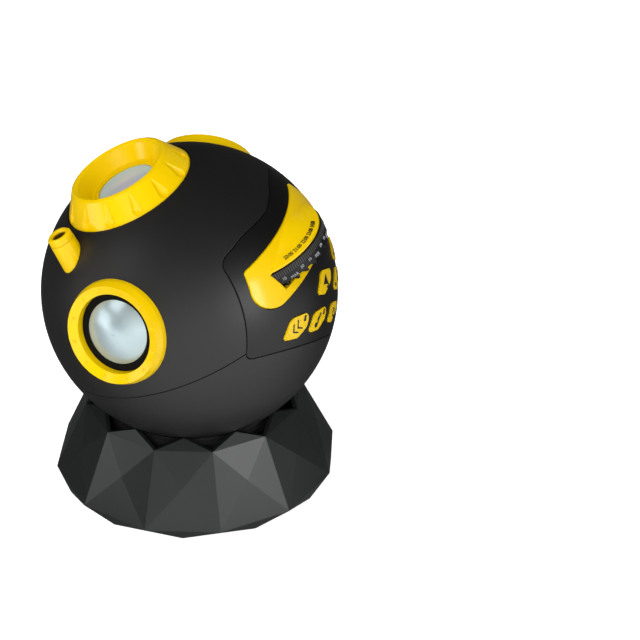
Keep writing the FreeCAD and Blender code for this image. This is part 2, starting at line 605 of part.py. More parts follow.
BUTTONS = [
    ("button_back", -1, -size("side_button_y"), size("side_button_z"), 1.0),
    ("button_forward", 1, size("side_button_y"), size("side_button_z"), 1.0),
    ("button_stars", -1, -size("low_button_y"), size("low_button_z"), size("low_leaf_share")),
    ("button_source", 1, size("low_button_y"), size("low_button_z"), size("low_leaf_share")),
    ("button_play", 0, 0.0, size("mid_button_z"), 1.0),
    ("button_power", 0, 0.0, size("tip_button_z"), size("tip_bow_share")),
]
button_wires = {name: button_wire(side, y, z, share) for name, side, y, z, share in BUTTONS}
button_holes = [prism(w, size("button_gap"), PANEL_BACK, FAR) for w in button_wires.values()]
panel = panel_skin.fuse(panel_flange).cut([front_hole] + button_holes)
node(special("ControlPanel", panel.removeSplitter()), "control_panel", BALL)

cap_zone = Part.makeSphere(BALL_R + size("button_proud")).cut(
    Part.makeSphere(BALL_R - size("button_skirt")))
keypad_plane = BALL_R - size("keypad_depth")
switch_tip = keypad_plane + size("switch_height")
for name, side, y, z, share in BUTTONS:
    cap = prism(button_wires[name], 0, PANEL_BACK, FAR).common(cap_zone)
    stem_start = switch_tip + size("button_travel") + size("stem_gap")
    stem_end = math.sqrt(BALL_R ** 2 - y * y - z * z) - size("button_skirt") / 2
    stem = Part.makeCylinder(size("stem_radius"), stem_end - stem_start,
                             Vector(stem_start, y, z), Vector(1, 0, 0))
    node(special(name.title().replace("_", ""), cap.fuse(stem).removeSplitter()), name, BALL)

node(box("KeypadBoard", "board_wall", "keypad_half * 2", "keypad_top - keypad_bottom"),
     "keypad_board", in_ball(keypad_plane - size("board_wall"), -size("keypad_half"),
                             size("keypad_bottom")))
side = size("switch_side")
node(special("KeypadSwitches", Part.makeCompound([
    Part.makeBox(size("switch_body"), side, side,
                 Vector(keypad_plane, y - side / 2, z - side / 2)).fuse(
        Part.makeCylinder(size("plunger_radius"), size("switch_height"),
                          Vector(keypad_plane, y, z), Vector(1, 0, 0)))
    for name, s, y, z, share in BUTTONS])), "keypad_switches", BALL)

# ---- lens barrel, collar and focus ring ---------------------------------------------------

ring_low = "ball_radius - ring_base_drop"
funnel_foot = "ball_radius - funnel_drop"
collar_top = "ball_radius - collar_drop"
under = funnel_foot + " - ring_floor"
ring_blank = turned("FocusBlank", [
    ("ring_base_radius", ring_low), ("ring_base_radius", ring_low + " + ring_skirt"),
    ("ring_rim_radius", "ball_radius + ring_rim_rise"),
    ("ring_crest_radius", "ball_radius + ring_crest_rise"),
    ("ring_mouth_radius", "ball_radius + ring_mouth_rise"), ("funnel_radius", funnel_foot),
    ("barrel_radius + run_gap", funnel_foot), ("barrel_radius + run_gap", under),
    ("funnel_radius + ring_step", under),
    ("collar_radius - collar_wall - collar_gap", collar_top + " + slide_gap"),
    ("collar_radius + run_gap", collar_top + " + slide_gap"),
    ("collar_radius + run_gap", ring_low)])
# Each grip is a scoop in the flank: deep and round at its foot, and fading towards the rim.
flank_foot = Vector(size("ring_base_radius"), 0, ring_base + size("ring_skirt"))
flank = Vector(size("ring_rim_radius"), 0, BALL_R + size("ring_rim_rise")) - flank_foot
flank_out = Vector(flank.z, 0, -flank.x).normalize()
grip_foot = (flank_foot + flank * size("grip_foot_share")
             + flank_out * (size("grip_radius") - size("grip_depth")))
grip_head = (flank_foot + flank * size("grip_head_share") + flank_out * size("grip_tip_radius"))
grip_tools = []
for i in range(int(size("grip_count"))):
    spin = Rotation(Vector(0, 0, 1), i * 360.0 / size("grip_count"))
    foot, head = spin.multVec(grip_foot), spin.multVec(grip_head)
    grip_tools.append(Part.makeCone(size("grip_radius"), size("grip_tip_radius"),
                                    (head - foot).Length, foot, head - foot).fuse(
        Part.makeSphere(size("grip_radius"), foot)))
grips = special("FocusGrips", Part.makeCompound(grip_tools))
node(cut("FocusRing", ring_blank, grips), "focus_ring", BALL)

plate_top = ring_low + " - slide_gap - recess_floor"
plate_low = plate_top + " - collar_plate"
barrel_top = "ball_radius - barrel_drop"
barrel_low = barrel_top + " - barrel_length"
guide_low = barrel_low + " - guide_length"
node(turned("LensCollar", [
    ("barrel_radius + run_gap", guide_low), ("barrel_radius + guide_wall", guide_low),
    ("barrel_radius + guide_wall", plate_low), ("collar_flange", plate_low),
    ("collar_flange", plate_top), ("collar_radius", plate_top), ("collar_radius", collar_top),
    ("collar_radius - collar_wall", collar_top), ("collar_radius - collar_wall", plate_top),
    ("barrel_radius + run_gap", plate_top)]), "lens_collar", BALL)

bore = "barrel_radius - barrel_wall"
node(turned("LensBarrel", [
    (bore, barrel_low), ("barrel_radius", barrel_low), ("barrel_radius", barrel_top),
    (bore, barrel_top)]), "lens_barrel", BALL)


def lens_shape(radius, low, edge, crown_top, crown_bottom=0.0):
    """A lens as a disc with a spherical crown above and, if asked, below."""
    disc = Part.makeCylinder(radius, edge, Vector(0, 0, low))
    for rise, up in ((crown_top, 1), (crown_bottom, -1)):
        if rise:
            curve = (radius ** 2 + rise ** 2) / (2 * rise)
            level = low + edge if up > 0 else low
            cap = Part.makeSphere(curve, Vector(0, 0, level + up * (rise - curve)))
            span = Part.makeCylinder(radius, rise, Vector(0, 0, level if up > 0 else level - rise))
            disc = disc.fuse(cap.common(span))
    return disc.removeSplitter()


glass_radius = size("barrel_radius") - size("barrel_wall") - size("fixed_gap")
barrel_crown = BALL_R - size("barrel_drop")
barrel_foot = barrel_crown - size("barrel_length")
node(special("FrontLens", lens_shape(
    glass_radius, barrel_crown - size("front_glass_inset") - size("front_glass_edge"),
    size("front_glass_edge"), 0.0, size("glass_crown"))), "front_lens", BALL)
node(special("RearLens", lens_shape(
    glass_radius, barrel_foot + size("rear_glass_inset"), size("rear_glass_edge"),
    size("glass_crown"))), "rear_lens", BALL)
retainer_top = barrel_low + " + rear_glass_inset"
retainer_out = bore + " - fixed_gap"
node(turned("LensRetainer", [
    (retainer_out + " - retainer_width", retainer_top + " - retainer_height"),
    (retainer_out, retainer_top + " - retainer_height"), (retainer_out, retainer_top),
    (retainer_out + " - retainer_width", retainer_top)]), "lens_retainer", BALL)

# ---- speakers -----------------------------------------------------------------------------

foot_level = "sqrt(ball_radius * ball_radius - bezel_foot_radius * bezel_foot_radius)"
neck_level = "sqrt(ball_radius * ball_radius - bezel_neck_radius * bezel_neck_radius)"
neck_low = "ball_radius - bezel_neck_depth"
dome_base = size("ball_radius") - size("dome_base_drop")
dome_curve = (size("dome_radius") ** 2 + size("dome_rise") ** 2) / (2 * size("dome_rise"))
face_share = ((size("pip_circle") - size("bezel_lip_radius"))
              / (size("bezel_face_radius") - size("bezel_lip_radius")))
pip_level = BALL_R + size("bezel_lip_rise") + face_share * (
    size("bezel_face_rise") - size("bezel_lip_rise"))

for hand, sign in (("left", 1), ("right", -1)):
    frame = in_ball(rotation=Rotation(Vector(1, 0, 0), sign * size("speaker_lean")))
    tag = hand.title()
    blank = turned("Bezel" + tag, [
        ("bezel_lip_radius", neck_low), ("bezel_neck_radius", neck_low),
        ("bezel_neck_radius", neck_level + " + seat_gap"),
        ("bezel_foot_radius", foot_level + " + seat_gap"),
        ("bezel_foot_radius - bezel_edge_step", foot_level + " + bezel_edge_rise"),
        ("bezel_face_radius", "ball_radius + bezel_face_rise"),
        ("bezel_lip_radius", "ball_radius + bezel_lip_rise")])
    pips = []
    for i in range(int(size("pip_count"))):
        place = Rotation(Vector(0, 0, 1), i * 360.0 / size("pip_count")).multVec(
            Vector(size("pip_circle"), 0, pip_level - over))
        pips.append(Part.makeCylinder(size("pip_radius"), over + size("pip_height"), place))
    pip_group = special("Pips" + tag, Part.makeCompound(pips))
    node(fuse("SpeakerBezel" + tag, [blank, pip_group]), "speaker_bezel_" + hand, frame)

    dome_centre = Vector(0, 0, dome_base + size("dome_rise") - dome_curve)
    outer_cap = Part.makeSphere(dome_curve, dome_centre)
    inner_cap = Part.makeSphere(dome_curve - size("dome_wall"), dome_centre)
    span = Part.makeCylinder(size("dome_radius"), size("dome_rise") + over, Vector(0, 0, dome_base))
    node(special("SpeakerDome" + tag, outer_cap.cut(inner_cap).common(span)),
         "speaker_dome_" + hand, frame)
    surround_low = "ball_radius - surround_drop"
    surround_out = "bezel_lip_radius - socket_clear"
    node(turned("SpeakerSurround" + tag, [
        ("dome_radius - surround_lap", surround_low), (surround_out, surround_low),
        (surround_out, surround_low + " + surround_wall"),
        ("dome_radius - surround_lap", surround_low + " + surround_wall")]),
        "speaker_surround_" + hand, frame)
    basket_low = "ball_radius - basket_depth"
    node(turned("SpeakerBasket" + tag, [
        ("magnet_radius - basket_foot", basket_low), ("magnet_radius + basket_wall", basket_low),
        (surround_out, surround_low + " - basket_wall"), (surround_out, surround_low),
        (surround_out + " - basket_lip", surround_low),
        ("magnet_radius", basket_low + " + basket_wall"),
        ("magnet_radius - basket_foot", basket_low + " + basket_wall")]),
        "speaker_basket_" + hand, frame)
    node(cylinder("SpeakerMagnet" + tag, "magnet_radius", "magnet_depth"),
         "speaker_magnet_" + hand,
         frame * Placement(Vector(0, 0, BALL_R - size("basket_depth") - size("magnet_depth")),
                           Rotation()))

# ---- shooting-star nozzle -----------------------------------------------------------------

nozzle = in_ball(size("nozzle_x"), size("nozzle_y"))
nozzle_floor = "sqrt(ball_radius ^ 2 - nozzle_x ^ 2 - nozzle_y ^ 2) - nozzle_depth"
nozzle_tip = "ball_radius - nozzle_tip_drop"
cap_low = nozzle_tip + " - nozzle_cap_length"
root_radius = "nozzle_foot_radius - nozzle_root_step"
housing_tube = turned("NozzleTube", [
    (root_radius + " - nozzle_wall", nozzle_floor), (root_radius, nozzle_floor),
    (root_radius, nozzle_floor + " + nozzle_collar"),
    ("nozzle_foot_radius", nozzle_floor + " + nozzle_collar"),
    ("nozzle_radius + cap_gap", cap_low + " - cap_gap"),
    ("nozzle_radius - nozzle_wall", cap_low + " - cap_gap")])
tube_outside = cut("NozzleHousing", housing_tube, common("NozzleUnder", [
    sphere("NozzleSeatCore", "ball_radius + seat_gap", ("-nozzle_x", "-nozzle_y", "0")),
    cut("NozzleRingZone",
        cylinder("NozzleZoneOut", "nozzle_foot_radius * 3", "ball_radius * 2"),
        cylinder("NozzleZoneIn", root_radius, "ball_radius * 2"))]))
node(tube_outside, "meteor_housing", nozzle)
spigot = "nozzle_radius - nozzle_wall - fixed_gap"
node(turned("NozzleCap", [
    (spigot, cap_low + " - nozzle_spigot"), (spigot, cap_low), ("nozzle_radius", cap_low),
    ("nozzle_radius", nozzle_tip + " - nozzle_cap_round"),
    ("nozzle_radius - nozzle_cap_round", nozzle_tip),
    ("nozzle_hole + nozzle_dish", nozzle_tip), ("nozzle_hole", nozzle_tip + " - nozzle_dish"),
    ("nozzle_hole", cap_low + " - nozzle_spigot")]), "meteor_cap", nozzle)
glass_top = cap_low + " - nozzle_spigot - nozzle_lens_gap"
glass_low = glass_top + " - nozzle_lens_crown - nozzle_lens_wall"
node(turned("NozzleLens", [
    ("0", glass_low), ("nozzle_lens_radius", glass_low),
    ("nozzle_lens_radius", glass_low + " + nozzle_lens_wall"),
    ("nozzle_lens_radius - nozzle_lens_crown", glass_top), ("0", glass_top)]),
    "meteor_lens", nozzle)
board_radius = root_radius + " - nozzle_wall - socket_clear"
chip_foot = nozzle_floor + " + nozzle_board"
chip_top = chip_foot + " + nozzle_chip_height"
node(turned("NozzleLed", [
    ("0", nozzle_floor), (board_radius, nozzle_floor), (board_radius, chip_foot),
    ("nozzle_chip_radius", chip_foot),
    ("nozzle_chip_radius", chip_top + " - nozzle_chip_radius / 2"),
    ("nozzle_chip_radius / 2", chip_top), ("0", chip_top)]), "meteor_led", nozzle)

# ---- disc drawer --------------------------------------------------------------------------

dial_x = 2 * size("gear_radius")
DIAL = in_ball(dial_x)
tray_low = size("front_bottom") + size("tray_clear")
tray_top = size("dial_top") + size("dial_gap")


def tray_plan(inset, low, high):
    """The tray seen along the lens axis: parallel sides that flare towards the front."""
    half, wide = size("tray_half") - inset, size("front_bottom_half") - inset
    back = -size("tray_back") + inset
    points = [Vector(back, -half, low), Vector(size("tray_flare_start"), -half, low),
              Vector(size("tray_flare_end"), -wide, low), Vector(FAR, -wide, low),
              Vector(FAR, wide, low), Vector(size("tray_flare_end"), wide, low),
              Vector(size("tray_flare_start"), half, low), Vector(back, half, low)]
    block = Part.Face(Part.makePolygon(points + points[:1])).extrude(Vector(0, 0, high - low))
    corners = [e for e in block.Edges
               if abs(e.BoundBox.XMax - back) < 0.01 and e.BoundBox.ZLength > (high - low) / 2]
    return block.makeFillet(size("tray_corner") - inset, corners)


drawer_room = prism(front_wire, -size("tray_clear"), -BALL_R, FAR)
drawer_core = prism(front_wire, -size("tray_clear") - size("tray_wall"), -BALL_R, FAR)
front_inner = BALL_R + size("front_proud") - size("front_wall")
tray_outer = tray_plan(0.0, tray_low, tray_top).common(drawer_room).common(
    Part.makeSphere(front_inner))
tray_pocket = tray_plan(size("tray_wall"), tray_low + size("tray_wall"), tray_top + over).common(
    drawer_core)
groove_top = chassis_top + size("rib_height") + size("slide_gap")
grooves = []
tunnels = []
for s in (1, -1):
    y, half = s * size("rib_y"), size("rib_width") / 2 + size("slide_gap")
    tunnel_half = half + size("tunnel_wall")
    grooves.append(Part.makeBox(FAR, 2 * half, groove_top - tray_low + over,
                                Vector(-BALL_R, y - half, tray_low - over)))
    tunnels.append(Part.makeBox(FAR + BALL_R, 2 * tunnel_half,
                                groove_top + size("tunnel_wall") - tray_low,
                                Vector(-BALL_R, y - tunnel_half, tray_low)))
notch = Part.makeBox(size("tray_back"), 2 * size("notch_half"),
                     size("gear_wall") + 2 * size("gear_gap"),
                     Vector(-1.5 * size("tray_back"), -size("notch_half"),
                            size("dial_bottom") - size("gear_gap")))
light_hole = Part.makeCylinder(size("disc_radius"), FAR, Vector(0, 0, tray_low - over))
tray = tray_outer.cut(tray_pocket).fuse([t.common(tray_outer) for t in tunnels])
axle_post = Part.makeCylinder(size("axle_radius"), tray_top - tray_low, Vector(dial_x, 0, tray_low))
tray = tray.cut(grooves + [notch, light_hole, axle_post])
node(special("DrawerTray", tray.removeSplitter()), "drawer_tray", BALL)

cover_low, cover_high = tray_top, tray_top + size("cover_plate")
plate = tray_plan(0.0, cover_low, cover_high).common(drawer_room).common(
    Part.makeSphere(front_inner))
ring_hole = Part.makeCylinder(size("ring_tube_radius") + size("slide_gap"), FAR)
node(special("DrawerCover", plate.cut(ring_hole)), "drawer_cover", BALL)

node(turned("DialAxle", [
    ("0", "front_bottom + tray_clear"), ("axle_radius", "front_bottom + tray_clear"),
    ("axle_radius", "dial_top + dial_gap"), ("0", "dial_top + dial_gap")]), "dial_axle", DIAL)

# Drawer front: a skin of the ball with a visor over the dial and a window for it.
front_skin = prism(front_wire, 0, PANEL_BACK, FAR)
visor_profile = [(0, tray_top), (size("visor_lip_radius"), tray_top),
                 (size("visor_lip_radius"), tray_top + size("visor_rim")),
                 (size("visor_band_radius"), size("visor_band_height")),
                 (size("visor_root_radius"), size("visor_root_height")),
                 (0, size("visor_root_height"))]
visor_points = [Vector(dial_x + r, 0, z) for r, z in visor_profile]
visor = Part.Face(Part.makePolygon(visor_points + visor_points[:1])).revolve(
    Vector(dial_x, 0, 0), Vector(0, 0, 1), 360)
window = Part.makeCylinder(size("dial_radius") + size("dial_gap"),
                           tray_top - size("dial_bottom") + size("dial_gap"),
                           Vector(dial_x, 0, size("dial_bottom") - size("dial_gap")))
front = front_skin.common(Part.makeSphere(BALL_R + size("front_proud"))).fuse(
    visor.common(front_skin)).cut(Part.makeSphere(front_inner)).cut(window)
node(special("DrawerFront", front.removeSplitter()), "drawer_front", BALL)

# Date dial: a drum in the window with a gear under it, turned by the finger.
wheel_low = tray_low + size("tray_wall") + size("slide_gap")
gear_low, gear_top = size("dial_bottom"), size("dial_bottom") + size("gear_wall")
teeth, dial_top = int(size("gear_teeth")), size("dial_top")
drum = Part.makeCylinder(size("dial_radius"), dial_top - gear_top, Vector(0, 0, gear_top))
drum_pocket = Part.makeCylinder(size("dial_radius") - size("dial_rim"), dial_top,
                                Vector(0, 0, gear_top + size("dial_web")))
neck = Part.makeCylinder(size("axle_radius") + size("dial_rim"), dial_top - wheel_low,
                         Vector(0, 0, wheel_low))
dial_gear = spur_gear(teeth, size("gear_radius"), gear_low, gear_top, 180.0 + 180.0 / teeth)
dial_bore = Part.makeCylinder(size("axle_radius") + size("run_gap"), FAR)
dial = drum.cut(drum_pocket).fuse([neck, dial_gear]).cut(dial_bore)
node(special("DateDial", dial.removeSplitter()), "date_dial", DIAL)

# Disc ring: the gear that holds the star disc over the lamp.
disc_seat = tray_top + size("cover_plate") - size("disc_wall") - size("disc_gap")
gear_tier = (gear_low + size("gear_gap") / 2, gear_top - size("gear_gap"))
ring_gear = spur_gear(teeth, size("gear_radius"), *gear_tier, 0.0)
tube = Part.makeCylinder(size("ring_tube_radius"), tray_top + size("cover_plate") - wheel_low,
                         Vector(0, 0, wheel_low))
seat_hole = Part.makeCylinder(size("disc_radius") + size("disc_gap"), FAR, Vector(0, 0, disc_seat))
beam_hole = Part.makeCylinder(size("disc_radius") - size("disc_ledge"), FAR)
disc_ring = ring_gear.fuse(tube).cut([seat_hole, beam_hole])
node(special("DiscRing", disc_ring.removeSplitter()), "disc_ring", BALL)
node(cylinder("StarDisc", "disc_radius", "disc_wall"), "star_disc",
     in_ball(z=disc_seat))

# ---- chassis, drive and lamp --------------------------------------------------------------

pinion_radius = size("gear_radius") * size("pinion_teeth") / size("gear_teeth")
pinion_x = -(size("gear_radius") + pinion_radius)
chassis_radius = BALL_R - size("chassis_gap")
chassis_disc = Part.makeCylinder(chassis_radius, size("chassis_wall"), Vector(0, 0, chassis_low))
rib_length = math.sqrt(chassis_radius ** 2 - size("rib_y") ** 2) - size("rib_gap")
ribs = [Part.makeBox(rib_length + size("tray_back"), size("rib_width"),
                     size("rib_height") + size("chassis_wall"),
                     Vector(-size("tray_back"), s * size("rib_y") - size("rib_width") / 2,
                            chassis_low)) for s in (1, -1)]
lamp_hole = Part.makeCylinder(size("lamp_bore"), FAR, Vector(0, 0, -BALL_R))
shaft_hole = Part.makeCylinder(size("shaft_radius") + over, FAR, Vector(pinion_x, 0, -BALL_R))
chassis_bores = [Part.makeCylinder(shank_clear, FAR, Vector(p.x, p.y, -BALL_R))
                 for p in post_points]
shell_post_rooms = [Part.makeCylinder(size("post_radius") + size("slide_gap"), FAR,
                                      Vector(p.x, p.y, -BALL_R)) for p in shell_posts]
panel_room = Part.makeBox(FAR, FAR, FAR, Vector(BALL_R - size("panel_clear"), -BALL_R, -BALL_R))
chassis = chassis_disc.cut(panel_room).fuse([r.cut(panel_room) for r in ribs]).cut(
    [lamp_hole, shaft_hole] + chassis_bores + shell_post_rooms)
node(special("Chassis", chassis.removeSplitter()), "chassis", BALL)
node(special("ChassisScrews", Part.makeCompound([
    screw(size("screw_head"), size("screw_shank") - size("fixed_gap"), size("screw_length"),
          Vector(p.x, p.y, chassis_top + size("screw_head_height")), Vector(0, 0, -1))
    for p in post_points])), "chassis_screws", BALL)

# With an even count the disc ring has a tooth on its -x heading, so the pinion has a space.
pinion_phase = 0.0 if teeth % 2 else 180.0 / size("pinion_teeth")
pinion = spur_gear(int(size("pinion_teeth")), pinion_radius, *gear_tier, pinion_phase)
shaft = Part.makeCylinder(size("shaft_radius"), gear_tier[1] - chassis_low,
                          Vector(0, 0, chassis_low))
node(special("DrivePinion", pinion.fuse(shaft).removeSplitter()), "drive_pinion",
     in_ball(pinion_x))
node(cylinder("DriveMotor", "motor_radius", "motor_length"), "drive_motor",
     in_ball(pinion_x, 0, chassis_low - size("motor_length")))

lamp_top = "front_bottom - chassis_drop - chassis_wall"
node(turned("LampHouse", [
    ("lamp_bore", "lamp_bottom"), ("lamp_foot", "lamp_bottom"),
    ("lamp_foot", "lamp_bottom + lamp_flange"),
    ("lamp_bore + lamp_wall", "lamp_bottom + lamp_flange"),
    ("lamp_bore + lamp_wall", lamp_top), ("lamp_bore", lamp_top)]), "lamp_house", BALL)
lamp_fit = size("lamp_bore") - size("fixed_gap")
node(special("CondenserLens", lens_shape(lamp_fit, size("condenser_height"),
                                         size("condenser_edge"), size("condenser_crown"))),
     "condenser_lens", BALL)
node(cylinder("LampBoard", "lamp_bore - fixed_gap", "board_wall"), "lamp_board",
     in_ball(z=size("lamp_board_height")))
chip, chip_top_level = size("chip_side"), size("chip_height")
chip_base = Part.makeBox(chip, chip, chip_top_level, Vector(-chip / 2, -chip / 2, 0))
chip_dome = Part.makeSphere(size("chip_dome"), Vector(0, 0, chip_top_level)).common(
    Part.makeBox(chip, chip, chip, Vector(-chip / 2, -chip / 2, chip_top_level / 2)))
node(special("LampLed", chip_base.fuse(chip_dome)), "lamp_led",
     in_ball(z=size("lamp_board_height") + size("board_wall")))
fin_pitch = 2 * lamp_fit / size("sink_fins")
fins = [Part.makeBox(2 * lamp_fit, size("fin_wall"), size("sink_height"),
                     Vector(-lamp_fit, (i + 0.5) * fin_pitch - lamp_fit - size("fin_wall") / 2,
                            -size("sink_height"))) for i in range(int(size("sink_fins")))]
sink_round = Part.makeCylinder(lamp_fit, size("sink_height"), Vector(0, 0, -size("sink_height")))
sink_plate = Part.makeCylinder(lamp_fit, size("sink_plate"), Vector(0, 0, -size("sink_plate")))
node(special("HeatSink", sink_plate.fuse([f.common(sink_round) for f in fins]).removeSplitter()),
     "heat_sink", in_ball(z=size("lamp_board_height")))

board_x = size("main_board_gap") - BALL_R
board = Part.makeBox(size("board_wall"), 2 * size("main_board_half"),
                     size("main_board_top") - size("main_board_bottom"),
                     Vector(board_x, -size("main_board_half"), size("main_board_bottom")))
package = size("chip_package")
board_middle = (size("main_board_top") + size("main_board_bottom")) / 2
chips = [Part.makeBox(size("chip_package_height"), package, package,
                      Vector(board_x + size("board_wall"), side * package - package / 2,
                             board_middle + side * package / 2 - package / 2))
         for side in (1, -1)]
node(special("MainBoard", board.fuse(chips)), "main_board", BALL)

# ---- sockets ------------------------------------------------------------------------------

for label, bore_name, collar_name, axis in (
        ("audio_socket", "audio_bore", "audio_collar", jack_axes[0]),
        ("power_socket", "power_bore", "power_collar", jack_axes[1])):
    length = size("jack_length")
    start = axis * (BALL_R - length - size("jack_sink"))
    flange_foot = INNER_R - size("jack_flange_wall") - size("jack_floor")
    sleeve = Part.makeCylinder(size(collar_name), length, start, axis).fuse(
        Part.makeCylinder(size(collar_name) + size("jack_flange"), size("jack_flange_wall"),
                          axis * flange_foot, axis))
    socket = sleeve.cut(Part.makeCylinder(size(bore_name), length,
                                          start + axis * size("jack_floor"), axis))
    if label == "power_socket":
        socket = socket.fuse(Part.makeCylinder(size("power_pin"), length - size("power_pin_drop"),
                                               start, axis))
    node(special(label.title().replace("_", ""), socket.removeSplitter()), label, BALL)

# ---- check and write ----------------------------------------------------------------------

doc.recompute()
for feature in doc.Objects:
    if "Invalid" in feature.State or "Error" in feature.State:
        raise RuntimeError("failed: %s %s" % (feature.Name, feature.State))
for feature in nodes:
    if feature.Shape.isNull() or not feature.Shape.isValid():
        raise RuntimeError("bad shape: " + feature.Label)
for feature in nodes:
    feature.Shape.exportStep("parts/%s.step" % feature.Label)
    print("%-24s solids %2d  volume %10.1f" % (feature.Label, len(feature.Shape.Solids),
                                              feature.Shape.Volume))
print(len(nodes), "nodes")
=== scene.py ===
import json
import math

import bmesh
import bpy
from mathutils import Euler, Matrix, Vector


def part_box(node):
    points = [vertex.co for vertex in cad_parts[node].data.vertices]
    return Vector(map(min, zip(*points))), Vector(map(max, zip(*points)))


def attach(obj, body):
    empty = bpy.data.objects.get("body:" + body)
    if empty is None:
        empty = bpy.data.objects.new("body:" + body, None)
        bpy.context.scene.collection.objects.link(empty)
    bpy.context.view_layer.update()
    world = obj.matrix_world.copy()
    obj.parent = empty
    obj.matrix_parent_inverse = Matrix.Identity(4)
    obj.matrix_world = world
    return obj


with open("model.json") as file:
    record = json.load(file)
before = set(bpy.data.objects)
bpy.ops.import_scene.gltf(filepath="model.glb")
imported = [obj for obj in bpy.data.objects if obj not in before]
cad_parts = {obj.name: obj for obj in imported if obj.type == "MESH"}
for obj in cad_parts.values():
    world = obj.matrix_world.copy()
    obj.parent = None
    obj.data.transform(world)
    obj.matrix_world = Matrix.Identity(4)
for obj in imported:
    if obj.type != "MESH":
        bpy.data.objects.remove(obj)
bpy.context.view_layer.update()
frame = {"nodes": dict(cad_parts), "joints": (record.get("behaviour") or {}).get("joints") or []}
scene = bpy.context.scene

# ---- Base shell ---------------------------------------------------------------------------
# The faceted foot that the ball lies in: one shell moulded in charcoal plastic, with a zigzag
# rim. Its flats have a fine satin grain, and its colour is a little green beside the ball.

MM = 0.001
NOISE_MIDDLE = 0.5
EDGE_SAMPLES = 4


def feed(node, inputs):
    """Gives each input of a shader node its value, or the output that feeds it."""
    for key, given in inputs.items():
        if isinstance(given, bpy.types.NodeSocket):
            node.id_data.links.new(given, node.inputs[key])
        else:
            node.inputs[key].default_value = given
    return node


def add_node(tree, kind, inputs, operation=None):
    """Adds a shader node and feeds its inputs."""
    node = tree.nodes.new("ShaderNode" + kind)
    if operation:
        node.operation = operation
    return feed(node, inputs)


def moulded_grain():
    """Fine mould grain with slow changes of tone and polish over the surface."""
    group = bpy.data.node_groups.new("moulded_grain", "ShaderNodeTree")
    for name, kind, value in (("Colour", "NodeSocketColor", (0.1, 0.1, 0.1, 1)),
                              ("Tone", "NodeSocketFloat", 0.1),
                              ("Polish", "NodeSocketFloat", 0.4),
                              ("Polish Change", "NodeSocketFloat", 0.1),
                              ("Drift Scale", "NodeSocketFloat", 14.0),
                              ("Grain Scale", "NodeSocketFloat", 900.0)):
        socket = group.interface.new_socket(name=name, in_out="INPUT", socket_type=kind)
        socket.default_value = value
    for name, kind in (("Colour", "NodeSocketColor"), ("Roughness", "NodeSocketFloat"),
                       ("Height", "NodeSocketFloat")):
        group.interface.new_socket(name=name, in_out="OUTPUT", socket_type=kind)
    given = group.nodes.new("NodeGroupInput").outputs
    place = add_node(group, "TexCoord", {}).outputs["Object"]
    slow = add_node(group, "TexNoise",
                    {"Vector": place, "Scale": given["Drift Scale"], "Detail": 4.0})
    fine = add_node(group, "TexNoise",
                    {"Vector": place, "Scale": given["Grain Scale"], "Detail": 3.0})
    drift = add_node(group, "Math", {0: slow.outputs["Fac"], 1: NOISE_MIDDLE},
                     "SUBTRACT").outputs[0]
    tone = add_node(group, "Math", {0: drift, 1: given["Tone"], 2: 1.0}, "MULTIPLY_ADD")
    shade = add_node(group, "VectorMath", {0: given["Colour"], "Scale": tone.outputs[0]},
                     "SCALE")
    rough = add_node(group, "Math", {0: drift, 1: given["Polish Change"], 2: given["Polish"]},
                     "MULTIPLY_ADD")
    feed(group.nodes.new("NodeGroupOutput"),
         {"Colour": shade.outputs[0], "Roughness": rough.outputs[0],
          "Height": fine.outputs["Fac"]})
    return group


GRAIN = moulded_grain()


def moulded(name, colour, tone=0.12, polish=0.4, change=0.12, drift=14.0, grain=900.0,
            depth=0.02 * MM, metal=0.0, gloss=0.5, edge=0.3 * MM):
    """A moulded or machined finish: its colour, polish and grain, and its rounded edges."""
    material = bpy.data.materials.new(name)
    material.use_nodes = True
    tree = material.node_tree
    surface = tree.nodes.new("ShaderNodeGroup")
    surface.name = "grain"
    surface.node_tree = GRAIN
    feed(surface, {"Colour": (*colour, 1), "Tone": tone, "Polish": polish,
                   "Polish Change": change, "Drift Scale": drift, "Grain Scale": grain})
    rounding = add_node(tree, "Bevel", {"Radius": edge})
    rounding.samples = EDGE_SAMPLES
    bump = add_node(tree, "Bump", {"Distance": depth, "Height": surface.outputs["Height"],
                                   "Normal": rounding.outputs["Normal"]})
    feed(tree.nodes["Principled BSDF"],
         {"Base Color": surface.outputs["Colour"], "Roughness": surface.outputs["Roughness"],
          "Normal": bump.outputs["Normal"], "Metallic": metal, "Specular IOR Level": gloss})
    return material


def dress(material, *names):
    """Gives CAD nodes their finish."""
    for name in names:
        for slot in frame["nodes"][name].material_slots:
            slot.material = material


charcoal = moulded("charcoal_shell", (0.010, 0.012, 0.0115), polish=0.33, grain=1400.0,
                   depth=0.012 * MM, gloss=0.5, edge=0.4 * MM)
dress(charcoal, "base_shell")

# ---- Inside of the base -------------------------------------------------------------------
# A moulded bottom plate with rubber feet and four screws closes the base, and a steel ballast
# ring lies on it. The cup turns in the base's hub, kept in by a ring, and is lined with felt.

dark_plastic = moulded("inner_plastic", (0.02, 0.02, 0.02), polish=0.5)
rubber = moulded("foot_rubber", (0.015, 0.015, 0.015), polish=0.75, grain=2500.0)
felt = moulded("cup_felt", (0.012, 0.012, 0.012), polish=0.95, grain=5000.0, depth=0.2 * MM)
steel = moulded("zinc_steel", (0.55, 0.55, 0.56), polish=0.32, grain=3000.0, metal=1.0)
ballast = moulded("ballast_steel", (0.20, 0.20, 0.21), polish=0.55, grain=500.0,
                  depth=0.1 * MM, metal=1.0)
dress(dark_plastic, "base_cover", "seat_ring", "seat_retainer")
dress(rubber, "base_feet")
dress(felt, "seat_felt")
dress(steel, "base_screws")
dress(ballast, "base_weight")

# ---- Ball shells --------------------------------------------------------------------------
# Two moulded half shells that meet at a fine seam, with a soft matt black finish.
# Two zinc screws at the back hold them together.

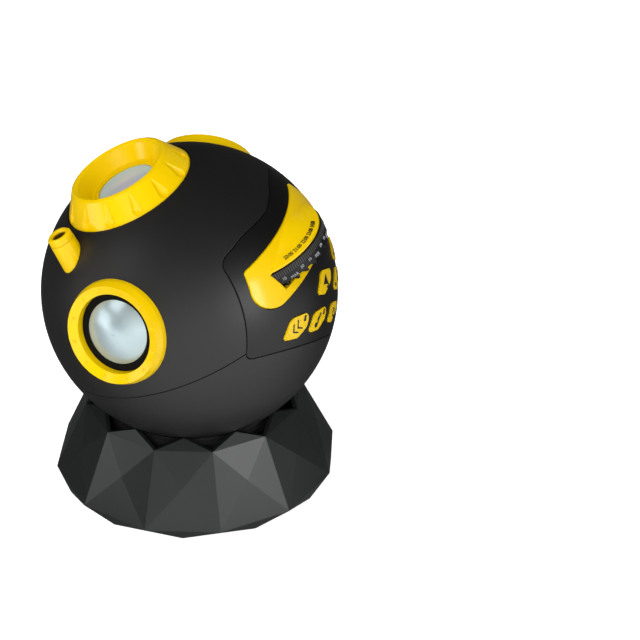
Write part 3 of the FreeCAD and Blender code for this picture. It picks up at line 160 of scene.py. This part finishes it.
soft_black = moulded("soft_black", (0.010, 0.0095, 0.0095), polish=0.48, change=0.05,
                     grain=1800.0, depth=0.012 * MM, gloss=0.5, edge=0.5 * MM)
dress(soft_black, "upper_shell", "lower_shell")
dress(steel, "shell_screws")

# ---- Control panel ------------------------------------------------------------------------
# The shield-shaped panel, moulded in the same black with a glossier face. Its circuit board
# with six small switches lies behind it.

panel_black = moulded("panel_black", (0.005, 0.005, 0.005), polish=0.40, change=0.05, gloss=0.4)
circuit_green = moulded("circuit_green", (0.01, 0.12, 0.04), polish=0.4, grain=300.0)
dress(panel_black, "control_panel")
dress(circuit_green, "keypad_board", "main_board")
dress(dark_plastic, "keypad_switches")

# ---- Keys ---------------------------------------------------------------------------------
# Six glossy yellow key caps, each with a dark printed sign: play, back, forward, a meteor,
# a note for the sound source and the power sign. Each sign moves with its key.

joints = {joint["name"]: joint for joint in frame["joints"]}
LENS_AXIS = Vector(joints["focus_turn"]["axis"])
FRONT_AXIS = Vector(joints["drawer_slide"]["axis"])
BALL_CENTRE = Vector(joints["ball_tilt"]["pos_m"])
# the ball's own millimetres: x to the drawer's front, z along the lens, from the ball's centre
BALL = (Matrix.Translation(BALL_CENTRE)
        @ Matrix((FRONT_AXIS, LENS_AXIS.cross(FRONT_AXIS), LENS_AXIS)).transposed().to_4x4()
        @ Matrix.Scale(MM, 4))
KEY_FACE_RADIUS = 80.7
INK_DEPTH = 0.3
DOT_SIDES = 20
MARK_WIDTH = 1.6

yellow = moulded("yellow_gloss", (0.90, 0.59, 0.0), tone=0.06, polish=0.15, change=0.06,
                 grain=700.0, depth=0.01 * MM, gloss=0.35, edge=0.4 * MM)
sign_ink = moulded("sign_ink", (0.012, 0.010, 0.008), polish=0.35, grain=2500.0)


def add_piece(name, work, material, body, place=BALL):
    """Sets a bmesh drawn in millimetres into its place, and lets it ride on a body."""
    bmesh.ops.transform(work, matrix=place, verts=work.verts)
    data = bpy.data.meshes.new(name)
    work.to_mesh(data)
    work.free()
    data.materials.append(material)
    made = bpy.data.objects.new(name, data)
    scene.collection.objects.link(made)
    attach(made, body)


def stroke(work, start, end, width):
    """A straight printed stroke between two points of the key's face (across, up)."""
    run = Vector(end) - Vector(start)
    middle = (Vector(start) + Vector(end)) / 2
    place = (Matrix.Translation((0, middle.x, middle.y))
             @ Matrix.Rotation(math.atan2(run.y, run.x), 4, "X")
             @ Matrix.Diagonal((INK_DEPTH, run.length + width, width, 1)))
    bmesh.ops.create_cube(work, size=1.0, matrix=place)


def dot(work, centre, radius, sides=DOT_SIDES, turn=0.0):
    """A printed dot, or with three sides a triangle that points across the key."""
    place = (Matrix.Translation((0, centre[0], centre[1])) @ Matrix.Rotation(turn, 4, "X")
             @ Matrix.Rotation(math.pi / 2, 4, "Y") @ Matrix.Rotation(math.pi / 2, 4, "Z"))
    bmesh.ops.create_cone(work, cap_ends=True, segments=sides, radius1=radius, radius2=radius,
                          depth=INK_DEPTH, matrix=place)


def play_sign(work):
    """A triangle over two bars."""
    dot(work, (0.2, 0.1), radius=3.5, sides=3, turn=math.radians(-37))
    stroke(work, (-1.4, -2.8), (1.8, -3.2), width=0.5)
    stroke(work, (-0.8, -3.7), (1.6, -4.0), width=0.5)


def skip_sign(work, way):
    """Two chevrons that point one way, with a dot and a slanting mark behind them."""
    for tip in (4.1, 0.9):
        stroke(work, (way * tip, -0.8), (way * (tip - 1.7), 2.3), width=0.75)
        stroke(work, (way * tip, -0.8), (way * (tip - 2.2), -3.0), width=0.75)
    dot(work, (-way * 4.9, -0.6), radius=0.9)
    stroke(work, (-way * 5.0, -0.5), (-way * 5.9, 0.4), width=1.5)


def back_sign(work):
    skip_sign(work, -1)


def forward_sign(work):
    skip_sign(work, 1)


def meteor_sign(work):
    """A head with three tails, and a slanting mark."""
    dot(work, (-3.9, -0.8), radius=1.3)
    for lift in (-0.8, 0.2, 1.2):
        stroke(work, (-2.2 + 0.5 * lift, -0.4 + lift), (2.4, 1.6 + 0.3 * lift), width=0.55)
    stroke(work, (5.0, -0.4), (5.9, 0.5), MARK_WIDTH)


def note_sign(work):
    """A note's head, stem and flag, and a slanting mark."""
    dot(work, (1.4, -1.6), radius=1.2)
    stroke(work, (2.5, -1.4), (2.5, 2.6), width=0.6)
    stroke(work, (2.5, 2.6), (4.4, 1.4), width=0.8)
    stroke(work, (-5.0, -0.4), (-5.9, 0.5), MARK_WIDTH)


def power_sign(work):
    """An open ring with a stroke in its gap."""
    radius = 2.1
    drop = 0.7
    gap = 40
    step = 28
    width = 0.6
    corners = [(radius * math.sin(math.radians(angle)),
                radius * math.cos(math.radians(angle)) - drop)
               for angle in range(gap, 360 - gap + 1, step)]
    for start, end in zip(corners, corners[1:]):
        stroke(work, start, end, width)
    stroke(work, (0, -0.2), (0, 2.2), width)


# each key's sign, and the place of its middle on the panel (across, up)
SIGNS = {"play": (play_sign, 0.0, -9.6), "back": (back_sign, -31.8, -11.4),
         "forward": (forward_sign, 31.8, -11.4), "stars": (meteor_sign, -16.6, -20.7),
         "source": (note_sign, 16.6, -20.7), "power": (power_sign, 0.0, -29.8)}
for key, (draw, across, up) in SIGNS.items():
    dress(yellow, "button_" + key)
    work = bmesh.new()
    draw(work)
    for vertex in work.verts:
        y = vertex.co.y + across
        z = vertex.co.z + up
        reach = math.sqrt(KEY_FACE_RADIUS ** 2 - y * y - z * z)
        vertex.co = (reach + vertex.co.x, y, z)
    add_piece("key_sign_" + key, work, sign_ink, "key_" + key)

# ---- Speakers -----------------------------------------------------------------------------
# A glossy yellow moulded bezel with small pips, set into the ball. In it lie a rubber surround
# and a pearly metal-coated dome, on a pressed steel basket with its magnet.

pearl = moulded("pearl_dome", (0.46, 0.57, 0.60), tone=0.35, polish=0.25, change=0.1,
                drift=30.0, depth=0.0, metal=0.45, gloss=0.8, edge=0.02 * MM)
# near-black rubber, darker than the other blacks: partly the rubber's own black, partly painted
# shade for the deep recess round the dome
surround_rubber_and_shade = moulded("surround_rubber_and_shade", (0.004, 0.004, 0.004), polish=0.8, gloss=0.15)
for hand in ("left", "right"):
    dress(yellow, "speaker_bezel_" + hand)
    dress(pearl, "speaker_dome_" + hand)
    dress(surround_rubber_and_shade, "speaker_surround_" + hand)
    dress(steel, "speaker_basket_" + hand)
    dress(ballast, "speaker_magnet_" + hand)

# ---- Meteor nozzle ------------------------------------------------------------------------
# A yellow tube beside the lens that throws the meteors, with a screwed cap, a small lens
# and a light inside. A thin matt brown sleeve lines its bore as painted shade: a dark sheet
# put where the yellow bore lies in shadow.

clear_glass = moulded("clear_glass", (0.10, 0.14, 0.17), polish=0.06, change=0.02, depth=0.0,
                      gloss=0.8, edge=0.1 * MM)
lit_resin = moulded("lamp_resin", (0.9, 0.85, 0.5), polish=0.2)
dress(yellow, "meteor_housing", "meteor_cap")
dress(clear_glass, "meteor_lens")
dress(lit_resin, "meteor_led")

NOZZLE_X = -22.1
NOZZLE_Y = -41.8
LINING_RADIUS = 3.5
LINING_LOW = 72.8
LINING_HIGH = 76.9
LINING_WALL = 0.08
LINING_SIDES = 48
# the sleeve's brown is painted shade: it darkens the bore, which lies in shadow
bore_painted_shade = moulded("bore_painted_shade", (0.10, 0.045, 0.006), polish=0.7, gloss=0.2, edge=0.05 * MM)
work = bmesh.new()
bmesh.ops.create_cone(
    work, cap_ends=False, segments=LINING_SIDES, radius1=LINING_RADIUS, radius2=LINING_RADIUS,
    depth=LINING_HIGH - LINING_LOW,
    matrix=Matrix.Translation((NOZZLE_X, NOZZLE_Y, (LINING_LOW + LINING_HIGH) / 2)))
bmesh.ops.solidify(work, geom=work.faces[:], thickness=LINING_WALL)
bmesh.ops.recalc_face_normals(work, faces=work.faces[:])
add_piece("nozzle_painted_shade", work, bore_painted_shade, "ball")

# ---- Focus ring and lens ------------------------------------------------------------------
# The yellow ring with scooped grips turns on a collar and drives the lens barrel. The barrel
# has the same yellow where it shows, and its front glass is coated: blue, with a rosy middle.

# the numbers by which a Mix node's colour inputs and output go
MIX_AMOUNT = 0
MIX_UNDER = 6
MIX_OVER = 7
MIX_RESULT = 2


def coated_glass():
    """Blue coated glass that turns rosy towards the middle of the lens."""
    material = moulded("coated_glass", (0.36, 0.54, 0.62), tone=0.3, polish=0.1, change=0.04,
                       depth=0.0, gloss=0.9, edge=0.1 * MM)
    tree = material.node_tree
    low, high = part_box("front_lens")
    place = add_node(tree, "TexCoord", {})
    centred = add_node(tree, "Mapping", {"Vector": place.outputs["Object"],
                                         "Location": -(low + high) / 2})
    reach = add_node(tree, "VectorMath", {0: centred.outputs[0]}, "LENGTH")
    fade = add_node(tree, "MapRange",
                    {"Value": reach.outputs["Value"], "From Min": 2.0 * MM,
                     "From Max": 15.0 * MM, "To Min": 0.75, "To Max": 0.0})
    blush = tree.nodes.new("ShaderNodeMix")
    blush.data_type = "RGBA"
    feed(blush, {MIX_AMOUNT: fade.outputs[0], MIX_OVER: (0.60, 0.54, 0.64, 1),
                 MIX_UNDER: tree.nodes["grain"].outputs["Colour"]})
    feed(tree.nodes["Principled BSDF"], {"Base Color": blush.outputs[MIX_RESULT]})
    return material


dress(yellow, "focus_ring", "lens_barrel")
dress(dark_plastic, "lens_collar", "lens_retainer")
dress(coated_glass(), "front_lens")
dress(clear_glass, "rear_lens")

# ---- Drawer front -------------------------------------------------------------------------
# The yellow front of the disc drawer: a moulded piece of the ball with a visor over the date
# dial. Hours are printed along the visor's sloping band.

dress(yellow, "drawer_front")
DIAL_AXIS_X = 57.7
DIAL = BALL @ Matrix.Translation((DIAL_AXIS_X, 0, 0))
LETTER_STEPS = 3


def lettering(text, height):
    """Raised lettering as a bmesh: x along the line from its middle, y up, z out."""
    curve = bpy.data.curves.new("lettering", "FONT")
    curve.body = text
    curve.size = height
    curve.extrude = INK_DEPTH
    curve.align_x = "CENTER"
    curve.align_y = "CENTER"
    curve.resolution_u = LETTER_STEPS
    holder = bpy.data.objects.new("lettering", curve)
    scene.collection.objects.link(holder)
    work = bmesh.new()
    work.from_mesh(holder.to_mesh())
    holder.to_mesh_clear()
    bpy.data.objects.remove(holder)
    bpy.data.curves.remove(curve)
    return work


# the band's rim and top, as a distance from the dial's axis and a height
BAND_RIM = (31.6, 22.4)
BAND_TOP = (25.0, 25.4)
BAND_SLOPE = math.atan2(BAND_TOP[1] - BAND_RIM[1], BAND_RIM[0] - BAND_TOP[0])
HOUR_HEIGHT = 3.2
TEXT_RISE = 2.7
TEXT_NARROW = 0.78
HOUR_STEP = 12.6
HOUR_START = -40.0
for count, hour in enumerate(range(20, 25)):
    work = lettering("%d:00" % hour, HOUR_HEIGHT)
    heading = math.radians(HOUR_START + HOUR_STEP * count)
    for vertex in work.verts:
        along, rise, out = vertex.co
        rise += TEXT_RISE
        radius = BAND_RIM[0] - rise * math.cos(BAND_SLOPE) + out * math.sin(BAND_SLOPE)
        turn = heading + TEXT_NARROW * along / (BAND_RIM[0] - TEXT_RISE)
        vertex.co = (radius * math.cos(turn), radius * math.sin(turn),
                     BAND_RIM[1] + rise * math.sin(BAND_SLOPE) + out * math.cos(BAND_SLOPE))
    add_piece("hour_mark_%d" % hour, work, sign_ink, "drawer", DIAL)

# ---- Date dial ----------------------------------------------------------------------------
# A wheel moulded in black under the visor, turned with a finger. A fine scale of ribs runs
# round it, with the days and months printed below the ribs.

dial_black = moulded("dial_black", (0.005, 0.005, 0.005), polish=0.34, gloss=0.3)
scale_grey = moulded("scale_grey", (0.06, 0.057, 0.055), polish=0.45)
print_grey = moulded("print_grey", (0.42, 0.43, 0.45), polish=0.5)
dress(dial_black, "date_dial")
DIAL_RADIUS = 32.3
RIB_COUNT = 160
RIB_LOW = 17.0
RIB_HIGH = 20.6
RIB_DEPTH = 0.3
RIB_WIDTH = 0.42
work = bmesh.new()
for count in range(RIB_COUNT):
    place = (Matrix.Rotation(2 * math.pi * count / RIB_COUNT, 4, "Z")
             @ Matrix.Translation((DIAL_RADIUS, 0, (RIB_LOW + RIB_HIGH) / 2))
             @ Matrix.Diagonal((RIB_DEPTH, RIB_WIDTH, RIB_HIGH - RIB_LOW, 1)))
    bmesh.ops.create_cube(work, size=1.0, matrix=place)
add_piece("dial_ribs", work, scale_grey, "dial", DIAL)

PRINT_HEIGHT = 2.3


def print_on_dial(name, text, heading, level):
    """Prints a word round the dial, at a heading in degrees and a height."""
    work = lettering(text, PRINT_HEIGHT)
    for vertex in work.verts:
        along, rise, out = vertex.co
        turn = math.radians(heading) + along / DIAL_RADIUS
        radius = DIAL_RADIUS + out
        vertex.co = (radius * math.cos(turn), radius * math.sin(turn), level + rise)
    add_piece(name, work, print_grey, "dial", DIAL)


# a month takes 30 degrees of the dial, so a day takes one
MONTHS = ("FEB", "JAN", "DEC", "NOV", "OCT", "SEP", "AUG", "JUL", "JUN", "MAY", "APR", "MAR")
MONTH_START = -15.0
MONTH_STEP = 30.0
MONTH_LEVEL = 13.9
DAY_LEVEL = 15.5
for count, month in enumerate(MONTHS):
    heading = MONTH_START + MONTH_STEP * count
    print_on_dial("month_" + month, month, heading, MONTH_LEVEL)
    for days in (10, 20):
        print_on_dial("day_%s_%d" % (month, days), str(days), heading - days, DAY_LEVEL)

# ---- Drawer tray --------------------------------------------------------------------------
# The moulded tray slides on two rails. Its cover has a hole for the disc ring, a pale toothed
# ring that holds the star disc, and the date dial turns on a steel axle.

tray_black = moulded("tray_black", (0.022, 0.022, 0.024), polish=0.42)
gear_white = moulded("gear_white", (0.62, 0.62, 0.61), polish=0.4)
dress(tray_black, "drawer_tray", "drawer_cover")
dress(gear_white, "disc_ring", "drive_pinion")
dress(steel, "dial_axle")
dress(dark_plastic, "star_disc")

# ---- Inside of the ball -------------------------------------------------------------------
# A moulded chassis carries the motor, and the lamp house with its board, light, lens and
# aluminium heat sink. Four screws hold it, and two sockets sit in the back of the ball.

sink_metal = moulded("sink_aluminium", (0.75, 0.76, 0.78), polish=0.35, grain=2000.0, metal=1.0)
dress(dark_plastic, "chassis", "lamp_house", "audio_socket", "power_socket")
dress(steel, "chassis_screws", "drive_motor")
dress(clear_glass, "condenser_lens")
dress(circuit_green, "lamp_board")
dress(lit_resin, "lamp_led")
dress(sink_metal, "heat_sink")

# ---- Floor --------------------------------------------------------------------------------
# A plain sheet of pale paper that keeps the projector's shadow. It glows a little towards the
# camera. In gloss it is bright in front of the projector, and dim beside and behind it.

FLOOR_REACH = 3.0
POOL_DIRECTION = (0.3, -0.95, 0)
work = bmesh.new()
bmesh.ops.create_grid(work, x_segments=1, y_segments=1, size=FLOOR_REACH)
floor_data = bpy.data.meshes.new("floor")
work.to_mesh(floor_data)
work.free()
floor = bpy.data.objects.new("floor", floor_data)
scene.collection.objects.link(floor)


def rise_towards(tree, place, direction, low, high, dark, bright):
    """Light that rises from dark to bright, the further a place or a ray goes one way."""
    along = add_node(tree, "VectorMath", {0: place, 1: direction}, "DOT_PRODUCT")
    rise = tree.nodes.new("ShaderNodeMapRange")
    rise.interpolation_type = "SMOOTHSTEP"
    feed(rise, {"Value": along.outputs["Value"], "From Min": low, "From Max": high,
                "To Min": dark, "To Max": bright})
    return rise.outputs[0]


def floor_paper():
    """Matt paper with a glow for the camera and a pool of light for gloss."""
    material = bpy.data.materials.new("paper")
    material.use_nodes = True
    tree = material.node_tree
    ray = add_node(tree, "LightPath", {}).outputs
    sheet = feed(tree.nodes["Principled BSDF"],
                 {"Base Color": (0.86, 0.86, 0.86, 1), "Roughness": 0.9})
    glow = add_node(tree, "Emission", {"Strength": 0.78})
    no_glow = add_node(tree, "Emission", {"Strength": 0.0})
    camera_glow = add_node(tree, "MixShader", {"Fac": ray["Is Camera Ray"],
                                               1: no_glow.outputs[0], 2: glow.outputs[0]})
    lit_sheet = add_node(tree, "AddShader", {0: sheet.outputs[0], 1: camera_glow.outputs[0]})
    spot = add_node(tree, "TexCoord", {})
    pool = rise_towards(tree, spot.outputs["Object"], POOL_DIRECTION,
                        low=0.0, high=0.22, dark=0.08, bright=1.3)
    lit_pool = add_node(tree, "Emission", {"Strength": pool})
    whole = add_node(tree, "MixShader", {"Fac": ray["Is Glossy Ray"],
                                         1: lit_sheet.outputs[0], 2: lit_pool.outputs[0]})
    feed(tree.nodes["Material Output"], {"Surface": whole.outputs[0]})
    return material


floor_data.materials.append(floor_paper())

# ---- Light and camera ---------------------------------------------------------------------
# Soft studio light. In gloss the studio is bright in front of the projector, and dims to its
# sides, its back wall and its ceiling. The camera sees it pale all round.

DOWN = (0, 0, -1)
STUDIO_FRONT = (0.45, -0.89, 0)


def studio():
    """A world that lights softly, and that gloss sees as a bright wall in front."""
    world = bpy.data.worlds.new("studio")
    world.use_nodes = True
    tree = world.node_tree
    ray = add_node(tree, "LightPath", {}).outputs
    soft_light = feed(tree.nodes["Background"], {"Color": (1, 1, 1, 1), "Strength": 0.28})
    direction = add_node(tree, "TexCoord", {}).outputs["Generated"]
    below = rise_towards(tree, direction, DOWN, low=-0.8, high=0.0, dark=0.05, bright=1.0)
    ahead = rise_towards(tree, direction, STUDIO_FRONT, low=0.3, high=0.95, dark=0.02,
                         bright=1.0)
    zone = add_node(tree, "Math", {0: below, 1: ahead}, "MULTIPLY")
    brightness = add_node(tree, "Math", {0: zone.outputs[0], 1: 2.0}, "MULTIPLY")
    walls = add_node(tree, "Background", {"Strength": brightness.outputs[0]})
    backdrop = add_node(tree, "Background", {"Strength": 1.0})
    shiny = add_node(tree, "Math", {0: ray["Is Glossy Ray"], 1: ray["Is Transmission Ray"]},
                     "MAXIMUM")
    reflected = add_node(tree, "MixShader", {"Fac": shiny.outputs[0],
                                             1: soft_light.outputs[0], 2: walls.outputs[0]})
    whole = add_node(tree, "MixShader", {"Fac": ray["Is Camera Ray"],
                                         1: reflected.outputs[0], 2: backdrop.outputs[0]})
    feed(tree.nodes["World Output"], {"Surface": whole.outputs[0]})
    return world


def lamp(name, place, size, power, shine=True):
    """A soft square lamp that faces the ball; without shine it shows in no gloss."""
    data = bpy.data.lights.new(name, "AREA")
    data.size = size
    data.energy = power
    lamp_object = bpy.data.objects.new(name, data)
    lamp_object.location = place
    aim = BALL_CENTRE - Vector(place)
    lamp_object.rotation_euler = aim.to_track_quat("-Z", "Y").to_euler()
    scene.collection.objects.link(lamp_object)
    lamp_object.visible_glossy = shine


scene.view_settings.view_transform = "Standard"
scene.world = studio()
lamp("key_lamp", (-0.95, -0.35, 0.15), size=0.45, power=1.3)
lamp("left_lamp", (-0.75, -0.45, 0.75), size=0.45, power=1.3)
lamp("fill_lamp", (-0.1, -0.95, 0.5), size=0.6, power=5.0, shine=False)
lamp("top_lamp", (-0.2, -0.3, 1.1), size=0.6, power=3.2, shine=False)
lamp("side_lamp", (0.85, -0.65, 0.38), size=0.4, power=3.0)
lamp("back_lamp", (0.3, 1.0, 0.5), size=0.6, power=4.5, shine=False)

CAMERA_LENS = 110.4
CAMERA_PLACE = Vector((0.0702, -0.9079, 0.6599))
TURN = math.radians(2.58)
DIP = math.radians(32.06)
camera_data = bpy.data.cameras.new("camera")
camera_data.lens = CAMERA_LENS
camera = bpy.data.objects.new("camera", camera_data)
camera.location = Matrix.Rotation(TURN, 3, "Z") @ CAMERA_PLACE
camera.rotation_euler = Euler((math.pi / 2 - DIP, 0, TURN))
scene.collection.objects.link(camera)
scene.camera = camera
